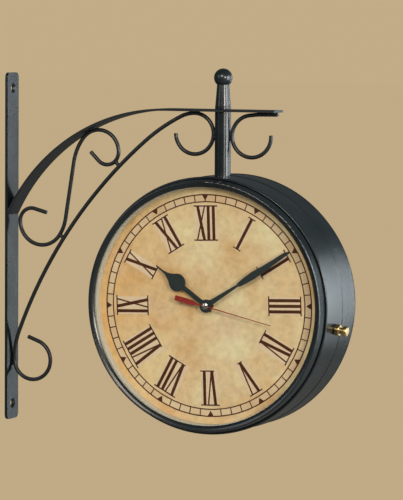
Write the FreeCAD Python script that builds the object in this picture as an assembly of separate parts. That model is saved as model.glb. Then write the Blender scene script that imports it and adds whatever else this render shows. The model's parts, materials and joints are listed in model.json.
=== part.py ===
"""Double sided station clock on a scrolled wall bracket.

Millimetres. The origin is the centre of the wall bar's back face: +X runs out from the wall,
+Z is up, and the drum's axis lies along Y with the front dial facing -Y.
"""
import FreeCAD, Part
import math
import os
from FreeCAD import Vector

# ---- driving dimensions -------------------------------------------------------------------
# wall bar, flat steel
BAR_LENGTH = 356.0
BAR_WIDTH = 25.0
BAR_THICK = 3.0
BAR_CORNER = 5.0
SCREW_HOLE_R = 2.75
SINK_R = 5.2               # countersink of the wall screws
SINK_DEPTH = 2.0
SCREW_HOLE_INSET = 16.0

# arched strip, flat steel
STRIP_WIDTH = 25.0
STRIP_THICK = 2.2
STRIP_TOP = 144.3          # top face above the bar's centre
STRIP_OVERHANG = 59.5      # free end beyond the post's axis
ARCH_START = 58.0          # where the arch leaves the straight, from the post's axis to the wall
ARCH_DROP = 106.5          # fall of the arch from the straight to the bar, at the run below
ARCH_RUN_DRAWN = 175.0     # arch's run that the scrolls are drawn for; they grow with the run

# scrolls, round rod
ROD_R = 2.0
HOOK_R = 20.5              # hooks at both ends of the long scroll
END_HOOK_R = 20.9          # hook of the end scroll
SCROLL_HEAD_BEND = 34.0    # long scroll, the bends below its hook, and the slopes they reach
SCROLL_HEAD_SLOPE = 26.0
SCROLL_EASY_BEND = 190.0
SCROLL_EASY_SLOPE = 40.0
SCROLL_FOOT_BEND = 82.0    # bend that lays the long scroll on the bar
SCROLL_FOOT_SLOPE = 69.0   # slope where that bend starts
HOOK_TAIL_TURN = 250.0     # how far the bottom hook turns
HOOK_TAIL = 12.5           # straight tip of the bottom hook
END_EASE_R = 150.0
END_EASE_TURN = 8.0
END_HOOK_TURN = 266.0
END_SCROLL_INSET = 0.5     # rod's end short of the strip's end
S_LOOP_R = 22.0            # upper loop of the S scroll
S_TIP_R = 13.0             # tighter bend at each tip
S_EASE_R = 53.0
S_LOWER_EASE_R = 42.0
S_LOWER_LOOP_R = 24.4
S_STRAIGHT = 58.9
S_UPPER_TAIL = 12.5
S_LOWER_TAIL = 14.0
S_TOUCH_ANGLE = 117.2      # where the upper loop meets the arch, seen from the arch's centre

# post and finial
REACH = 236.0              # wall to the post's axis
POST_GAP = 63.5            # strip's underside to the drum's top
POST_R = 8.0
POST_BORE_R = 5.0
TIE_R = 4.0
TIE_HOLE_R = 4.2
TIE_BELOW_NUT = 3.0
NUT_FLATS = 13.0
NUT_THICK = 6.5
WASHER_R = 8.0
WASHER_THICK = 1.6
COLLAR_R = 7.9
COLLAR_EDGE = 0.5
COLLAR_THICK = 3.6
FINIAL_BASE_R = 7.7
FINIAL_NECK_R = 6.1
BALL_R = 9.2
BALL_HEIGHT = 31.5         # ball's centre above the strip
FINIAL_SOCKET = 20.0

# drum, sheet steel
DRUM_R = 127.5
SHEET = 1.2
SHELL_FRONT = 38.7         # shell's rolled edge, from the mid-plane
EDGE_BEAD_R = 1.3
EDGE_BEAD_PROUD = 0.4
SEAM = 3.0                 # seam behind the mid-plane
SEAM_GAP = 0.3
SEAM_BEAD_R = 1.2
SEAM_BEAD_PROUD = 0.45
BAND_FRONT = 6.0           # coupling band, in front of the mid-plane
BAND_BACK = 11.0
BAND_CLEAR = 0.3
NOTCH_CLEAR = 0.4

# bezel, pressed
BEZEL_FRONT = 50.0         # crest, from the mid-plane
OPEN_STEP = 9.3            # steps inward from the drum's radius: opening, crest, corner, skirt
CREST_STEP = 4.7
CORNER_STEP = 3.4
SKIRT_STEP = 1.9
CREST_ROUND = 1.3
FACE_SWELL = 0.5
BEZEL_SKIRT_BACK = 40.6
LIP_FRONT = 47.5
LIP_BACK = 46.9
COLLAR_ROUND = 0.4
COLLAR_GAP = 0.2           # between the bezel's collar and the shell's rolled edge
BEZEL_COLLAR_BACK = 33.0

# what the bezel holds
GLASS_THICK = 2.0
GLASS_GAP = 0.2
DIAL_FRONT = 35.0
DIAL_THICK = 0.8
DIAL_GAP = 0.2
GLASS_LAP = 4.7            # glass seat outside the opening
SPACER_STEP = 0.8          # spacer's bore inside the opening
SPACER_WALL = 5.4
RETAINER_STEP = 0.8        # retainer's bore outside the opening
RETAINER_SPLIT = 10.0

# quartz movement
CASE_SIDE = 56.0
CASE_DEPTH = 15.5
CASE_CORNER = 5.0
CASE_EDGE = 1.2
GASKET_THICK = 0.5
GASKET_R = 9.0
BATTERY_R = 7.1
BATTERY_LENGTH = 49.0
BATTERY_NUB_R = 2.7
BATTERY_NUB = 1.5
BATTERY_DROP = 15.5        # battery's axis below the hands' axis
BATTERY_FIT = 0.4
CONTACT_THICK = 0.5
BUSH_R = 4.0
BUSH_TOP = 38.6
DIAL_HOLE_R = 4.2
BUSH_NUT_FLATS = 12.0
BUSH_NUT_THICK = 2.3
RUNNING_FIT = 0.05
HOUR_PIPE_R = 2.5
HOUR_PIPE_TOP = 39.9
HOUR_PIPE_ROOT = 31.2
MINUTE_ARBOR_R = 1.7
MINUTE_ARBOR_TOP = 42.0
MINUTE_ARBOR_ROOT = 28.2
SECOND_PIN_R = 0.6
SECOND_PIN_ROOT = 25.2
KNOB_R = 7.0
KNOB_THICK = 4.0
KNOB_STEM_R = 1.6
KNOB_STEM = 5.0
KNOB_GAP = 0.5
KNOB_EDGE = 0.4
KNOB_RIBS = 12
KNOB_FLUTE_R = 0.7
KNOB_SIDE = 14.0           # setting knob's axis, to the side of the hands' axis
KNOB_RISE = 12.0

# hands
HAND_THICK = 0.6
HOUR_HAND_BACK = 39.0
MINUTE_HAND_BACK = 41.1
SECOND_HAND_BACK = 42.8
SECOND_HAND_THICK = 0.35
HOUR_HUB_R = 6.6
MINUTE_HUB_R = 6.3
CAP_R = 3.4
CAP_RIM = 0.4
CAP_TOP = 44.4
HOUR_LENGTH = 66.5
HOUR_BULB_AT = 38.6
HOUR_BULB_R = 8.9
HOUR_BULB_END = 56.5
HOUR_WAIST = 2.0
HOUR_TIP = 1.1
HOUR_HOLLOW = 1.1          # how far the spade's flanks are hollowed
HOUR_SHOULDER = 42.0       # angle on the bulb where its flanks start
HOUR_ROOT_WIDTH = 4.8
MINUTE_LENGTH = 105.5
MINUTE_BLADE_AT = 41.0
MINUTE_BELLY_AT = 61.0
MINUTE_BELLY = 7.2
MINUTE_STEP = 4.4
MINUTE_TIP = 2.4
MINUTE_ROOT_WIDTH = 5.6
MINUTE_WAIST = 2.4
MINUTE_SWELL = 0.25        # how far the leaf's edges bow outward
MINUTE_TAPER = 0.1
MINUTE_SHOULDER = 0.8
SECOND_LENGTH = 72.0
SECOND_TAIL = 33.0
SECOND_TAIL_ROOT = 13.0
SECOND_TAIL_WIDTH = 5.2
SECOND_NEEDLE = 1.1
HOUR_ANGLE = 305.0         # clock angles shown, clockwise from twelve
MINUTE_ANGLE = 57.4
SECOND_ANGLE = 103.0

# thumbscrew clamp
CLAMP_ANGLE = 9.0          # below the horizontal, on the side away from the wall
CLAMP_FRONT = 11.6         # in front of the mid-plane
THUMB_SHANK_R = 2.0
THUMB_LIFT = 0.3
THUMB_FERRULE_R = 5.6
THUMB_FERRULE = 5.0
THUMB_NECK_R = 3.1
THUMB_NECK = 2.6
THUMB_HEAD_R = 5.3
THUMB_HEAD = 5.4
CLIP_R = 4.0
CLIP_THICK = 0.8
CLIP_DROP = 0.7            # below the sheet's inner face
FORK_DROP = 2.8            # fork's outer face below the sheet's inner face
FORK_THICK = 1.5
FORK_WIDTH = 16.0
FORK_SLOT = 4.8
FORK_TIP = 20.0            # tip in front of the mid-plane
FORK_FOOT = 16.0           # where the fork's foot starts, behind the mid-plane
FORK_FOOT_LENGTH = 14.0
CLAMP_BAR_GAP = 0.3
CLAMP_BAR_THICK = 3.2
CLAMP_BAR_LENGTH = 19.4
CLAMP_BAR_WIDTH = 9.0
CLAMP_TRAVEL = 1.6
HAT_INNER = 20.0           # between the clamp bracket's legs
HAT_THICK = 1.5
HAT_FOOT = 7.0
HAT_WIDTH = 8.0
HAT_CLEAR = 0.6

# hinge
HINGE_OUT = 2.7            # pin's axis outside the shell
HINGE_BARREL_R = 2.0
HINGE_PIN_R = 1.2
HINGE_PIN_FIT = 0.05
HINGE_HEIGHT = 26.0
HINGE_MIDDLE = 9.0
HINGE_KNUCKLE_GAP = 0.2
HINGE_LEAF = 15.0
HINGE_LEAF_THICK = 1.3
HINGE_LEAF_ROOT = 0.6       # leaf's edge clear of the barrel
HINGE_BEAD_CLEAR = 0.3      # leaf clear of the seam's bead
HINGE_SWEEP = 5.0           # size of the cutting block outside the drum

# ---- worked out from them -----------------------------------------------------------------
BAR_FACE = BAR_THICK
STRIP_UNDER = STRIP_TOP - STRIP_THICK
DRUM_Z = STRIP_UNDER - POST_GAP - DRUM_R
SHELL_IN = DRUM_R - SHEET
BAND_OUT = SHELL_IN - BAND_CLEAR
BAND_IN = BAND_OUT - SHEET
ROD_Z = STRIP_UNDER - ROD_R
COLLAR_OUT = DRUM_R - 2 * EDGE_BEAD_R + EDGE_BEAD_PROUD - COLLAR_GAP
COLLAR_IN = COLLAR_OUT - SHEET
DIAL_R = COLLAR_IN - DIAL_GAP
BEZEL_OPEN_R = DRUM_R - OPEN_STEP
BEZEL_CREST_R = DRUM_R - CREST_STEP
BEZEL_CORNER_R = DRUM_R - CORNER_STEP
BEZEL_SKIRT_R = DRUM_R - SKIRT_STEP
SPACER_R = BEZEL_OPEN_R - SPACER_STEP
RETAINER_R = BEZEL_OPEN_R + RETAINER_STEP
GLASS_R = BEZEL_OPEN_R + GLASS_LAP - GLASS_GAP
GLASS_BACK = LIP_BACK - GLASS_THICK
DIAL_BACK = DIAL_FRONT - DIAL_THICK
CASE_FRONT = DIAL_BACK - GASKET_THICK
CASE_BACK = CASE_FRONT - CASE_DEPTH

Y_AXIS = Vector(0, 1, 0)
Z_AXIS = Vector(0, 0, 1)
HERE = Vector(0, 0, 0)
DRUM = Vector(REACH, 0, DRUM_Z)


# ---- building blocks ----------------------------------------------------------------------
def pt(x, z, y=0.0):
    """A point of the XZ plane, where the bracket and the hands are drawn."""
    return Vector(x, y, z)


def polygon(points):
    return Part.Face(Part.makePolygon(points + points[:1]))


def outline(parts):
    """A face from points and arcs: a triple (start, through, end) is an arc."""
    edges = []
    for part in parts:
        if len(part) == 3:
            edges.append(Part.Arc(*part).toShape())
        else:
            edges.append(Part.makeLine(*part))
    return Part.Face(Part.Wire(edges))


def turned(parts):
    """A ring round the drum's axis. parts are in (radius, distance in front of the mid-plane)."""
    place = [tuple(Vector(r, -d, 0) for r, d in part) for part in parts]
    return outline(place).revolve(HERE, Y_AXIS, 360)


def ring(outer, inner, front, back):
    """A plain ring or disc round the drum's axis, between two distances from the mid-plane."""
    body = Part.makeCylinder(outer, front - back, Vector(0, -front, 0), Y_AXIS)
    if inner > 0:
        body = body.cut(Part.makeCylinder(inner, front - back, Vector(0, -front, 0), Y_AXIS))
    return body


def hexagon(flats, front, back, bore):
    """A hexagon nut round the drum's axis."""
    corner = flats / math.sqrt(3)
    points = [pt(corner * math.cos(math.radians(60 * i)), corner * math.sin(math.radians(60 * i)),
                 -front) for i in range(6)]
    nut = polygon(points).extrude(Vector(0, front - back, 0))
    return nut.cut(ring(bore, 0, front, back))


def box(x0, x1, y0, y1, z0, z1):
    return Part.makeBox(x1 - x0, y1 - y0, z1 - z0, Vector(x0, y0, z0))


def at_drum(shape):
    """From the drum's own place to the part's frame."""
    moved = shape.copy()
    moved.translate(DRUM)
    return moved


def facing_back(shape):
    """The same piece on the rear dial: half a turn about the post."""
    moved = shape.copy()
    moved.rotate(HERE, Z_AXIS, 180)
    return moved


def bent_rod(x, z, heading, moves):
    """A round rod in the bracket's plane. heading is in degrees from +X towards +Z, and a move
    is (length, None) for a straight or (radius, turn) for a bend, positive to the left."""
    edges = []
    start = pt(x, z)
    here = pt(x, z)
    angle = math.radians(heading)
    first = Vector(math.cos(angle), 0, math.sin(angle))
    for size, turn in moves:
        ahead = Vector(math.cos(angle), 0, math.sin(angle))
        if turn is None:
            there = here + ahead * size
            edges.append(Part.makeLine(here, there))
            here = there
            continue
        side = 1 if turn > 0 else -1
        centre = here + Vector(-math.sin(angle), 0, math.cos(angle)) * (size * side)
        pieces = max(1, math.ceil(abs(turn) / 120))
        for _ in range(pieces):
            step = math.radians(turn) / pieces
            marks = []
            for share in (0.5, 1.0):
                a = angle + step * share
                marks.append(centre + Vector(math.sin(a), 0, -math.cos(a)) * (size * side))
            edges.append(Part.Arc(here, marks[0], marks[1]).toShape())
            here = marks[1]
            angle += step
    circle = Part.Wire([Part.makeCircle(ROD_R, start, first)])
    rod = Part.Wire(edges).makePipeShell([circle], True, False)
    length = sum(edge.Length for edge in edges)
    print("rod of %.1f mm, volume %.4f of section x length, valid %s"
          % (length, rod.Volume / (math.pi * ROD_R ** 2 * length), rod.isValid()))
    return rod


# ---- wall bracket -------------------------------------------------------------------------
def wall_bar():
    half = BAR_LENGTH / 2
    bar = box(0, BAR_THICK, -BAR_WIDTH / 2, BAR_WIDTH / 2, -half, half)
    corners = [e for e in bar.Edges
               if abs(abs(e.CenterOfMass.y) - BAR_WIDTH / 2) < 0.01
               and abs(abs(e.CenterOfMass.z) - half) < 0.01]
    bar = bar.makeFillet(BAR_CORNER, corners)
    for side in (-1, 1):
        z = side * (half - SCREW_HOLE_INSET)
        bar = bar.cut(Part.makeCylinder(SCREW_HOLE_R, BAR_THICK, pt(0, z), Vector(1, 0, 0)))
        sink = Part.makeCone(SCREW_HOLE_R, SINK_R, SINK_DEPTH, pt(BAR_THICK - SINK_DEPTH, z), Vector(1, 0, 0))
        bar = bar.cut(sink)
    return bar


def growth():
    """How far the arch's run differs from the one that it and the scrolls are drawn for."""
    return (REACH - ARCH_START - BAR_FACE) / ARCH_RUN_DRAWN


def arch_circle():
    """Centre and outer radius of the arch, from its run and its fall."""
    start_x = REACH - ARCH_START
    run = start_x - BAR_FACE
    drop = ARCH_DROP * growth()
    radius = (run ** 2 + drop ** 2) / (2 * drop)
    return start_x, STRIP_TOP - radius, radius


def arch_strip():
    """Straight over the post, then one arc that ends on the bar's face."""
    cx, cz, outer = arch_circle()
    inner = outer - STRIP_THICK
    end_x = REACH + STRIP_OVERHANG

    def on_arc(radius, x):
        return pt(x, cz + math.sqrt(radius ** 2 - (x - cx) ** 2))

    def half_way(radius):
        foot = math.atan2(on_arc(radius, BAR_FACE).z - cz, BAR_FACE - cx)
        middle = (foot + math.pi / 2) / 2
        return pt(cx + radius * math.cos(middle), cz + radius * math.sin(middle))

    face = outline([
        (pt(end_x, STRIP_TOP), pt(cx, STRIP_TOP)),
        (pt(cx, STRIP_TOP), half_way(outer), on_arc(outer, BAR_FACE)),
        (on_arc(outer, BAR_FACE), on_arc(inner, BAR_FACE)),
        (on_arc(inner, BAR_FACE), half_way(inner), pt(cx, STRIP_UNDER)),
        (pt(cx, STRIP_UNDER), pt(end_x, STRIP_UNDER)),
        (pt(end_x, STRIP_UNDER), pt(end_x, STRIP_TOP)),
    ])
    strip = face.extrude(Vector(0, STRIP_WIDTH, 0))
    strip.translate(Vector(0, -STRIP_WIDTH / 2, 0))
    return strip.cut(Part.makeCylinder(TIE_HOLE_R, STRIP_THICK, pt(REACH, STRIP_UNDER), Z_AXIS))


def long_scroll():
    """Hook beside the post, gentle run down to the wall bar, and a hook on the bar."""
    def sine(slope):
        return math.sin(math.radians(slope))

    hook_x = REACH - POST_R - ROD_R - HOOK_R
    grown = growth()
    moves = [(HOOK_R, 270.0)]
    slope = 0.0
    run = hook_x - (BAR_FACE + ROD_R)
    for bend, reached in ((SCROLL_HEAD_BEND, SCROLL_HEAD_SLOPE), (SCROLL_EASY_BEND, SCROLL_EASY_SLOPE)):
        moves.append((bend * grown, reached - slope))
        run -= bend * grown * (sine(reached) - sine(slope))
        slope = reached
    foot = SCROLL_FOOT_BEND * grown
    run -= foot * (1 - sine(SCROLL_FOOT_SLOPE))
    main = run / (sine(SCROLL_FOOT_SLOPE) - sine(slope))
    moves.append((main, SCROLL_FOOT_SLOPE - slope))
    moves.append((foot, 90.0 - SCROLL_FOOT_SLOPE))
    moves.append((HOOK_R, HOOK_TAIL_TURN))
    moves.append((HOOK_TAIL, None))
    return bent_rod(hook_x - HOOK_R, ROD_Z - HOOK_R, -90.0, moves)


def short_scroll():
    """S scroll: its upper loop touches the arch, its lower loop lies beside the bar."""
    cx, cz, outer = arch_circle()
    grown = growth()
    loop, tip, upper_tail = S_LOOP_R * grown, S_TIP_R * grown, S_UPPER_TAIL * grown
    reach = outer - STRIP_THICK - ROD_R - loop
    angle = math.radians(S_TOUCH_ANGLE)
    loop_x = cx + reach * math.cos(angle)
    loop_z = cz + reach * math.sin(angle)
    tail = math.radians(-45.0)
    tip_x = loop_x + loop - tip * (1 - math.sin(tail)) - upper_tail * math.cos(tail)
    tip_z = loop_z - tip * math.cos(tail) - upper_tail * math.sin(tail)
    moves = [
        (upper_tail, None),
        (tip, 135.0),
        (loop, 142.0),
        (S_EASE_R * grown, 29.0),
        (S_STRAIGHT * grown, None),
        (S_LOWER_EASE_R * grown, -26.0),
        (S_LOWER_LOOP_R * grown, -145.0),
        (tip, -105.0),
        (S_LOWER_TAIL * grown, None),
    ]
    return bent_rod(tip_x, tip_z, -45.0, moves)


def end_scroll():
    """C scroll under the strip's free end, its hook against the post."""
    ease = math.radians(END_EASE_TURN)
    hook_x = REACH + POST_R + ROD_R + END_HOOK_R
    bend_x = hook_x - END_HOOK_R * math.sin(ease) + END_EASE_R * math.sin(ease)
    start_x = REACH + STRIP_OVERHANG - END_SCROLL_INSET
    moves = [
        (start_x - bend_x, None),
        (END_EASE_R, END_EASE_TURN),
        (END_HOOK_R, END_HOOK_TURN),
    ]
    return bent_rod(start_x, ROD_Z, 180.0, moves)


# ---- post and finial ----------------------------------------------------------------------
def post_tube():
    """Tube between strip and drum, its foot coped to the shell and the band below it."""
    foot = DRUM_Z + BAND_OUT - 1
    tube = Part.makeCylinder(POST_R, STRIP_UNDER - foot, pt(REACH, foot), Z_AXIS)
    tube = tube.cut(Part.makeCylinder(POST_BORE_R, STRIP_UNDER - foot, pt(REACH, foot), Z_AXIS))
    on_shell = Part.makeCylinder(DRUM_R, POST_R + SEAM, Vector(REACH, -POST_R, DRUM_Z), Y_AXIS)
    on_band = Part.makeCylinder(BAND_OUT, 2 * POST_R, Vector(REACH, -POST_R, DRUM_Z), Y_AXIS)
    return tube.cut(on_shell).cut(on_band)


def washer_top():
    return DRUM_Z + math.sqrt(BAND_IN ** 2 - WASHER_R ** 2)


def tie_rod():
    bottom = washer_top() - WASHER_THICK - NUT_THICK - TIE_BELOW_NUT
    top = STRIP_TOP + COLLAR_THICK + FINIAL_SOCKET - 1
    return Part.makeCylinder(TIE_R, top - bottom, pt(REACH, bottom), Z_AXIS)


def tie_rod_washer():
    bottom = washer_top() - WASHER_THICK
    disc = Part.makeCylinder(WASHER_R, WASHER_THICK, pt(REACH, bottom), Z_AXIS)
    return disc.cut(Part.makeCylinder(TIE_HOLE_R, WASHER_THICK, pt(REACH, bottom), Z_AXIS))


def tie_rod_nut():
    bottom = washer_top() - WASHER_THICK - NUT_THICK
    corner = NUT_FLATS / math.sqrt(3)
    points = [Vector(REACH + corner * math.cos(math.radians(60 * i)),
                     corner * math.sin(math.radians(60 * i)), bottom) for i in range(6)]
    nut = polygon(points).extrude(Vector(0, 0, NUT_THICK))
    return nut.cut(Part.makeCylinder(TIE_R, NUT_THICK, pt(REACH, bottom), Z_AXIS))


def finial_collar():
    ring_ = Part.makeCylinder(COLLAR_R, COLLAR_THICK, pt(REACH, STRIP_TOP), Z_AXIS)
    ring_ = ring_.makeFillet(COLLAR_EDGE, [e for e in ring_.Edges if e.Closed])
    return ring_.cut(Part.makeCylinder(TIE_HOLE_R, COLLAR_THICK, pt(REACH, STRIP_TOP), Z_AXIS))


def finial():
    """Tapered stem and ball, turned in one piece and screwed on the tie rod."""
    base = STRIP_TOP + COLLAR_THICK
    ball = STRIP_TOP + BALL_HEIGHT
    neck = ball - math.sqrt(BALL_R ** 2 - FINIAL_NECK_R ** 2)
    profile = outline([
        (pt(0, base), pt(FINIAL_BASE_R, base)),
        (pt(FINIAL_BASE_R, base), pt(FINIAL_NECK_R, neck)),
        (pt(FINIAL_NECK_R, neck), pt(BALL_R, ball), pt(0, ball + BALL_R)),
        (pt(0, ball + BALL_R), pt(0, base)),
    ])
    body = profile.revolve(HERE, Z_AXIS, 360)
    body = body.cut(Part.makeCylinder(TIE_R, FINIAL_SOCKET, pt(0, base), Z_AXIS))
    body.translate(Vector(REACH, 0, 0))
    return body


# ---- drum, in its own place ---------------------------------------------------------------
def radial(shape):
    """From a place on the drum's +X side to the thumbscrew's place."""
    shape.translate(Vector(0, -CLAMP_FRONT, 0))
    shape.rotate(HERE, Y_AXIS, CLAMP_ANGLE)
    return shape


def bead(radius, distance, size):
    """A rolled edge: a thin torus round the drum."""
    circle = Part.Wire([Part.makeCircle(size, Vector(radius, -distance, 0), Z_AXIS)])
    return Part.Face(circle).revolve(HERE, Y_AXIS, 360)


def front_shell():
    wall = ring(DRUM_R, SHELL_IN, SHELL_FRONT - EDGE_BEAD_R, -SEAM)
    wall = wall.fuse(bead(DRUM_R - EDGE_BEAD_R + EDGE_BEAD_PROUD, SHELL_FRONT - EDGE_BEAD_R, EDGE_BEAD_R))
    rod_hole = Part.makeCylinder(TIE_HOLE_R, DRUM_R, HERE, Z_AXIS)
    screw_hole = radial(Part.makeCylinder(THUMB_SHANK_R + RUNNING_FIT, DRUM_R, HERE, Vector(1, 0, 0)))
    return wall.cut(rod_hole).cut(screw_hole)


def coupling_band():
    band = ring(BAND_OUT, BAND_IN, BAND_FRONT, -BAND_BACK)
    return band.cut(Part.makeCylinder(TIE_HOLE_R, DRUM_R, HERE, Z_AXIS))


def rear_shell():
    """Rear half: beaded at the seam, notched round the post."""
    start = -(SEAM + SEAM_GAP)
    wall = ring(DRUM_R, SHELL_IN, start - SEAM_BEAD_R, -(SHELL_FRONT - EDGE_BEAD_R))
    wall = wall.fuse(bead(DRUM_R - SEAM_BEAD_R + SEAM_BEAD_PROUD, start - SEAM_BEAD_R, SEAM_BEAD_R))
    wall = wall.fuse(bead(DRUM_R - EDGE_BEAD_R + EDGE_BEAD_PROUD, -(SHELL_FRONT - EDGE_BEAD_R), EDGE_BEAD_R))
    wall = wall.cut(ring(SHELL_IN, 0, start + 1, -SHELL_FRONT / 2))
    return wall.cut(Part.makeCylinder(POST_R + NOTCH_CLEAR, DRUM_R * 1.1, HERE, Z_AXIS))


def bezel():
    """Pressed ring: sloping face, rounded crest, flared skirt and a collar inside the shell."""
    lip = (BEZEL_OPEN_R, LIP_BACK)
    edge = (BEZEL_OPEN_R, LIP_FRONT)
    crest = (BEZEL_CREST_R, BEZEL_FRONT)
    corner = (BEZEL_CORNER_R, BEZEL_FRONT - CREST_ROUND)
    skirt = (BEZEL_SKIRT_R, BEZEL_SKIRT_BACK)
    step = (COLLAR_OUT, BEZEL_SKIRT_BACK - COLLAR_ROUND)
    out_back = (COLLAR_OUT, BEZEL_COLLAR_BACK)
    in_back = (COLLAR_IN, BEZEL_COLLAR_BACK)
    in_step = (COLLAR_IN, BEZEL_SKIRT_BACK - COLLAR_ROUND)
    seat = (GLASS_R + GLASS_GAP, LIP_BACK)
    face_mid = ((BEZEL_OPEN_R + BEZEL_CREST_R) / 2, (LIP_FRONT + BEZEL_FRONT) / 2 + FACE_SWELL)
    crest_mid = ((BEZEL_CREST_R + BEZEL_CORNER_R) / 2 + CREST_ROUND * 0.23, BEZEL_FRONT - CREST_ROUND * 0.27)
    return turned([
        (lip, edge), (edge, face_mid, crest), (crest, crest_mid, corner), (corner, skirt),
        (skirt, step), (step, out_back), (out_back, in_back), (in_back, in_step),
        (in_step, seat), (seat, lip),
    ])


def glass():
    return ring(GLASS_R, 0, LIP_BACK, GLASS_BACK)


def spacer_ring():
    return ring(SPACER_R + SPACER_WALL, SPACER_R, GLASS_BACK, DIAL_FRONT)


def dial():
    return ring(DIAL_R, DIAL_HOLE_R, DIAL_FRONT, DIAL_BACK)


def retaining_ring():
    """Split spring ring behind the dial."""
    back = BEZEL_COLLAR_BACK
    wire = ring(COLLAR_IN - DIAL_GAP, RETAINER_R, DIAL_BACK, back)
    half = RETAINER_SPLIT / 2
    return wire.cut(box(-half, half, -DIAL_FRONT, 0, -DRUM_R, 0))


# ---- movement -----------------------------------------------------------------------------
def movement_case():
    """Moulded case with stepped bores for the arbors and an open battery bay at the back."""
    half = CASE_SIDE / 2
    case = box(-half, half, -CASE_FRONT, -CASE_BACK, -half, half)
    upright = [e for e in case.Edges if abs(e.tangentAt(e.FirstParameter).y) > 0.9]
    case = case.makeFillet(CASE_CORNER, upright)
    rim = [e for e in case.Edges if abs(e.CenterOfMass.y + CASE_BACK) < 0.01]
    case = case.makeFillet(CASE_EDGE, rim)
    bores = ((HOUR_PIPE_R, CASE_FRONT, HOUR_PIPE_ROOT), (MINUTE_ARBOR_R, HOUR_PIPE_ROOT, MINUTE_ARBOR_ROOT),
             (SECOND_PIN_R, MINUTE_ARBOR_ROOT, SECOND_PIN_ROOT))
    for radius, front, back in bores:
        case = case.cut(ring(radius + RUNNING_FIT, 0, front, back - 0.2))
    reach = BATTERY_LENGTH / 2 + BATTERY_NUB / 2 + BATTERY_FIT + CONTACT_THICK
    bay_r = BATTERY_R + BATTERY_FIT
    bay = Part.makeCylinder(bay_r, 2 * reach, pt(-reach, -BATTERY_DROP, -battery_depth()), Vector(1, 0, 0))
    mouth = box(-reach, reach, -battery_depth(), 0, -BATTERY_DROP - bay_r, -BATTERY_DROP + bay_r)
    case = case.cut(bay).cut(mouth)
    stem = Part.makeCylinder(KNOB_STEM_R + RUNNING_FIT, KNOB_STEM + 0.2,
                             pt(KNOB_SIDE, KNOB_RISE, -CASE_BACK), Vector(0, -1, 0))
    return case.cut(stem)


def battery_depth():
    """Battery's axis in front of the mid-plane."""
    return CASE_BACK + BATTERY_R + BATTERY_FIT


def battery():
    left = -(BATTERY_LENGTH + BATTERY_NUB) / 2
    place = pt(left, -BATTERY_DROP, -battery_depth())
    can = Part.makeCylinder(BATTERY_R, BATTERY_LENGTH, place, Vector(1, 0, 0))
    can = can.makeFillet(0.7, [e for e in can.Edges if e.Closed])
    nub = Part.makeCylinder(BATTERY_NUB_R, BATTERY_NUB, place + Vector(BATTERY_LENGTH, 0, 0), Vector(1, 0, 0))
    return can.fuse(nub)


def battery_contacts():
    """Two spring blades, one at each end of the bay."""
    inner = (BATTERY_LENGTH + BATTERY_NUB) / 2 + BATTERY_FIT / 2
    half = BATTERY_R * 0.7
    depth = battery_depth()
    blades = []
    for side in (-1, 1):
        x = side * inner
        blade = box(min(x, x + side * CONTACT_THICK), max(x, x + side * CONTACT_THICK),
                    -depth - half, -depth + half, -BATTERY_DROP - half, -BATTERY_DROP + half)
        blades.append(blade)
    return Part.makeCompound(blades)


def centre_bush():
    return ring(BUSH_R, HOUR_PIPE_R + RUNNING_FIT, BUSH_TOP, CASE_FRONT)


def bush_washer():
    """Rubber gasket between the dial and the case."""
    return ring(GASKET_R, DIAL_HOLE_R, DIAL_BACK, CASE_FRONT)


def bush_nut():
    return hexagon(BUSH_NUT_FLATS, DIAL_FRONT + BUSH_NUT_THICK, DIAL_FRONT, BUSH_R)


def setting_knob():
    """Ribbed wheel that sets the hands, on the back of the case."""
    stem = Part.makeCylinder(KNOB_STEM_R, KNOB_STEM + KNOB_GAP, HERE, Vector(0, -1, 0))
    wheel = Part.makeCylinder(KNOB_R, KNOB_THICK, HERE, Y_AXIS)
    wheel = wheel.makeChamfer(KNOB_EDGE, [e for e in wheel.Edges if e.Closed])
    for i in range(KNOB_RIBS):
        a = 2 * math.pi * i / KNOB_RIBS
        flute = Part.makeCylinder(KNOB_FLUTE_R, KNOB_THICK, pt(KNOB_R * math.cos(a), KNOB_R * math.sin(a)), Y_AXIS)
        wheel = wheel.cut(flute)
    knob = wheel.fuse(stem)
    knob.translate(pt(KNOB_SIDE, KNOB_RISE, -CASE_BACK + KNOB_GAP))
    return knob


# ---- hands --------------------------------------------------------------------------------
def hand(face, back, thick, hub_r, hole_r, angle):
    """A flat hand drawn pointing at twelve, with its hub and hole, turned to a clock angle."""
    blank = face.extrude(Vector(0, -thick, 0))
    if hub_r > 0:
        blank = blank.fuse(Part.makeCylinder(hub_r, thick, HERE, Vector(0, -1, 0)))
    blank = blank.cut(Part.makeCylinder(hole_r, thick * 3, Vector(0, thick, 0), Vector(0, -1, 0)))
    blank = blank.removeSplitter()
    blank.translate(Vector(0, -back, 0))
    blank.rotate(HERE, Y_AXIS, angle)
    return blank


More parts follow.
